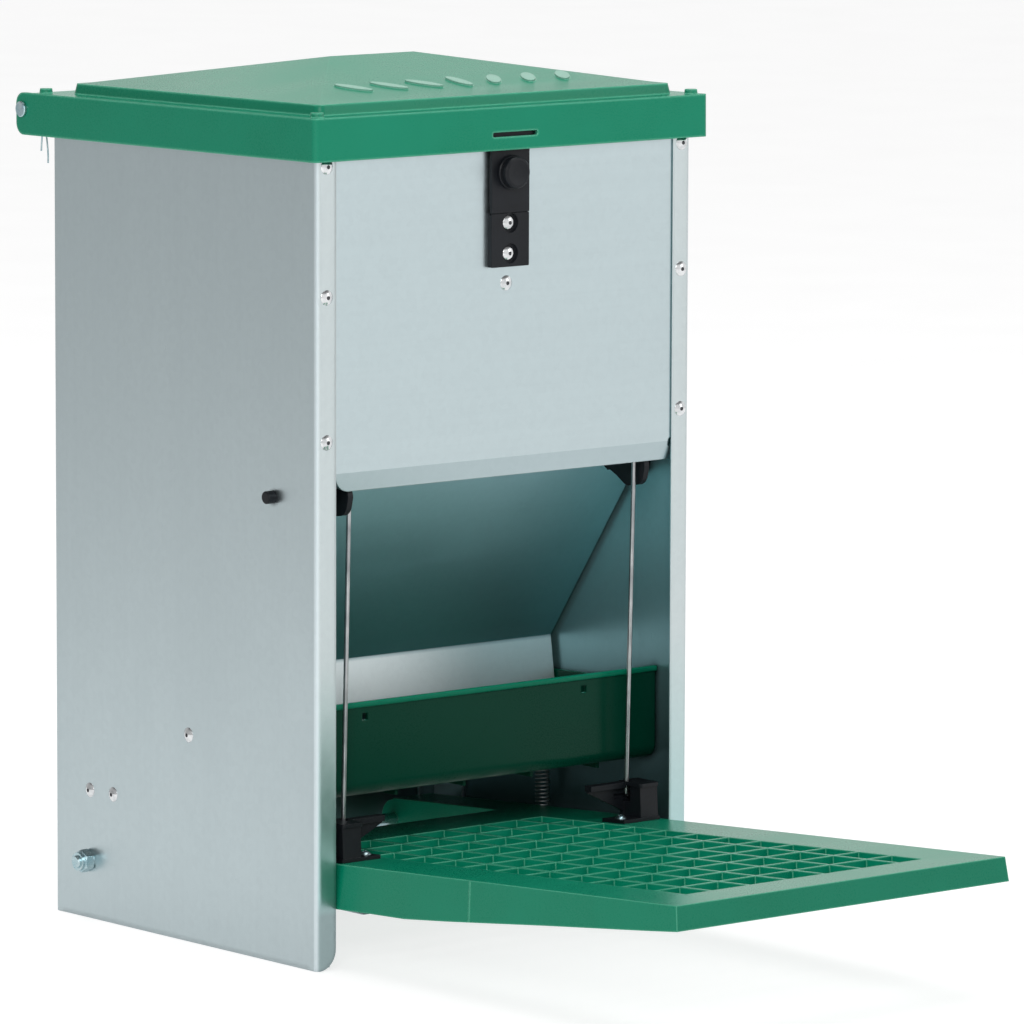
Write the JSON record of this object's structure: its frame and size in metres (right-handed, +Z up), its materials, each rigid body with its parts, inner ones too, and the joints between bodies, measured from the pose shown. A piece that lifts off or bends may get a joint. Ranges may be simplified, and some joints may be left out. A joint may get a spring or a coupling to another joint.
{
  "type": "treadle poultry feeder",
  "caption": "Treadle-operated gravity poultry feeder: sheet-metal hopper with hinged moulded lid, latch, trough, swinging feed cover, link rods and a slatted grid treadle.",
  "frame": {"origin": "centre of the cabinet footprint on the floor, on the underside of the base strap", "axes": "+X across the width from left to right seen from the front, +Y towards the rear (the treadle reaches out along -Y), +Z up"},
  "size_m": [0.3212, 0.619, 0.5515],
  "materials": {
    "galvanised_sheet": "satin",
    "green_plastic": "satin",
    "black_plastic": "satin",
    "rivet_metal": "satin",
    "zinc_steel": "satin",
    "steel_wire": "satin"
  },
  "bodies": {
    "housing": {"left_side_panel": "galvanised_sheet", "right_side_panel": "galvanised_sheet", "base_strap": "galvanised_sheet", "front_panel": "galvanised_sheet", "rear_panel": "galvanised_sheet", "front_stiffener": "galvanised_sheet", "hopper_baffle": "galvanised_sheet", "feed_chute": "galvanised_sheet", "feed_trough": "green_plastic", "front_rivets": "rivet_metal", "rear_rivets": "rivet_metal", "side_rivets": "rivet_metal", "axle_bracket_left": "galvanised_sheet", "axle_bracket_right": "galvanised_sheet", "treadle_axle": "zinc_steel", "axle_washers": "zinc_steel", "axle_nuts": "zinc_steel", "axle_spacers": "black_plastic", "latch_base": "black_plastic", "latch_rivets": "rivet_metal", "hinge_pins": "zinc_steel", "hinge_spacers": "black_plastic", "split_pins": "zinc_steel", "return_springs": "steel_wire"},
    "treadle_assembly": {"treadle": "green_plastic", "rod_bracket_left": "black_plastic", "rod_bracket_right": "black_plastic", "bracket_screws": "zinc_steel"},
    "feed_cover": {"feed_flap": "galvanised_sheet", "rocker_left": "black_plastic", "rocker_right": "black_plastic", "flap_rivets": "rivet_metal"},
    "rod_left": {"link_rod_left": "steel_wire"},
    "rod_right": {"link_rod_right": "steel_wire"},
    "lid_body": {"lid": "green_plastic"},
    "latch": {"latch_tongue": "black_plastic", "latch_button": "black_plastic"}
  },
  "joints": [
    {"name": "treadle_pivot", "type": "hinge", "parent": "housing", "child": "treadle_assembly", "pos_m": [0, 0.1003, 0.0371], "axis": [-1, 0, 0], "range_deg": [0, 4.11], "deforming": ["return_springs"]},
    {"name": "flap_swing", "type": "hinge", "parent": "housing", "child": "feed_cover", "pos_m": [0, -0.0914, 0.2907], "axis": [-1, 0, 0], "range_deg": [0, 31]},
    {"name": "rod_left_pivot", "type": "hinge", "parent": "treadle_assembly", "child": "rod_left", "pos_m": [-0.1152, -0.117, 0.08], "axis": [-1, 0, 0], "range_deg": [-2.98, 0]},
    {"name": "rod_right_pivot", "type": "hinge", "parent": "treadle_assembly", "child": "rod_right", "pos_m": [0.1152, -0.117, 0.08], "axis": [-1, 0, 0], "range_deg": [-2.98, 0]},
    {"name": "lid_hinge", "type": "hinge", "parent": "housing", "child": "lid_body", "pos_m": [0, 0.1569, 0.5141], "axis": [-1, 0, 0], "range_deg": [0, 100]},
    {"name": "latch_press", "type": "hinge", "parent": "housing", "child": "latch", "pos_m": [0, -0.137, 0.461], "axis": [-1, 0, 0], "range_deg": [0, 1.9], "stiffness_Nm_per_rad": 0.5}
  ],
  "couplings": [
    {"joint": "flap_swing", "follows": "treadle_pivot", "ratio": 7.544},
    {"joint": "rod_left_pivot", "follows": "treadle_pivot", "ratio": -0.7263},
    {"joint": "rod_right_pivot", "follows": "treadle_pivot", "ratio": -0.7263}
  ]
}
